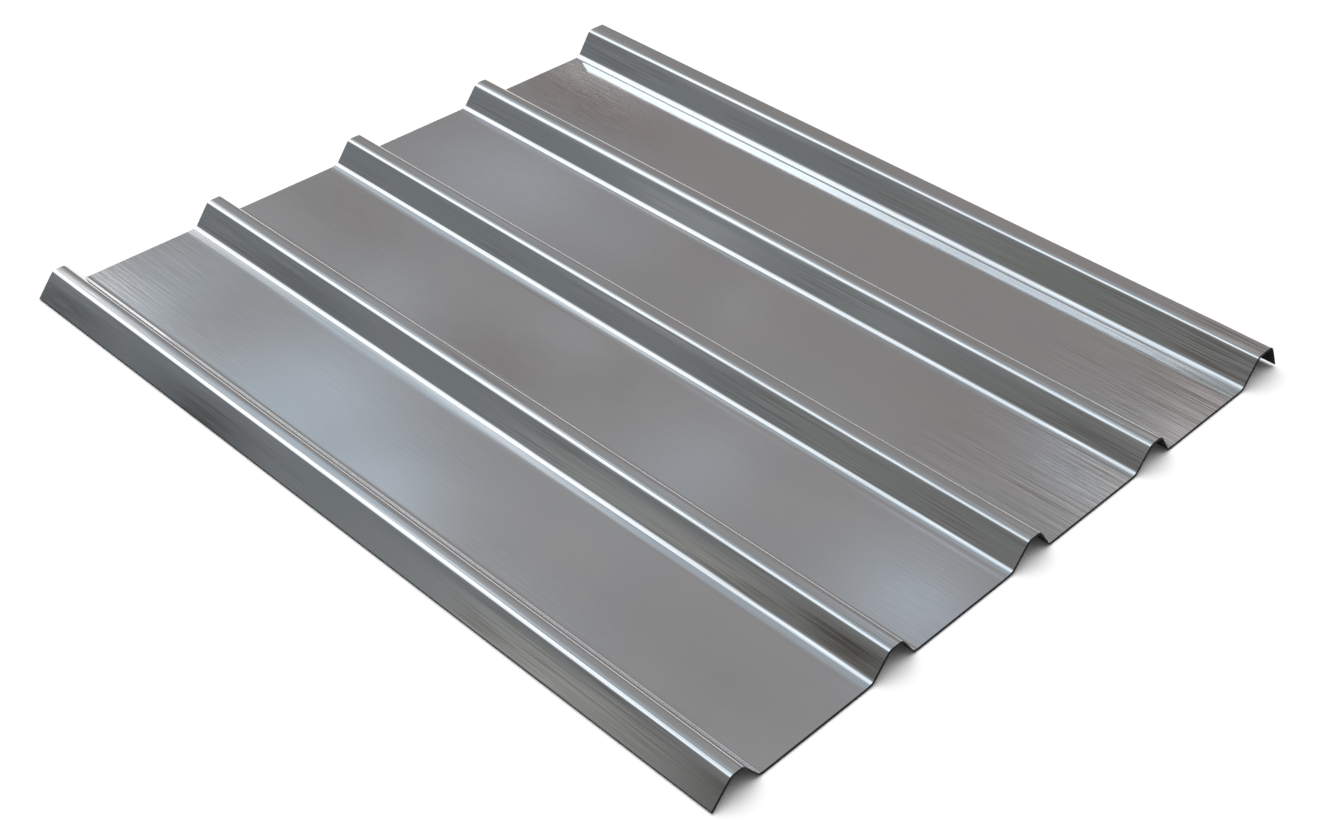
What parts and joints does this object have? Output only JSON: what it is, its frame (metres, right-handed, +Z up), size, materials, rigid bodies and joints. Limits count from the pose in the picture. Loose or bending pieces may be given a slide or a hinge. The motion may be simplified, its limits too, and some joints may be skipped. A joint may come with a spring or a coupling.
{
  "type": "trapezoidal metal cladding sheet",
  "caption": "Rolled metal roofing or wall sheet with trapezoidal ribs, flat pans, an underlap edge and a taller overlap edge.",
  "frame": {"origin": "centre of the outer box, on the floor plane that the pans lie on", "axes": "+X across the ribs from the underlap edge to the overlap edge, +Y along the ribs, +Z up out of the pans"},
  "size_m": [0.8592, 0.99, 0.033],
  "materials": {
    "sheet_metal": "bare mill-finish metal, semi-gloss, with faint rolling streaks"
  },
  "bodies": {
    "root": {"profiled_sheet": "sheet_metal"}
  },
  "joints": []
}
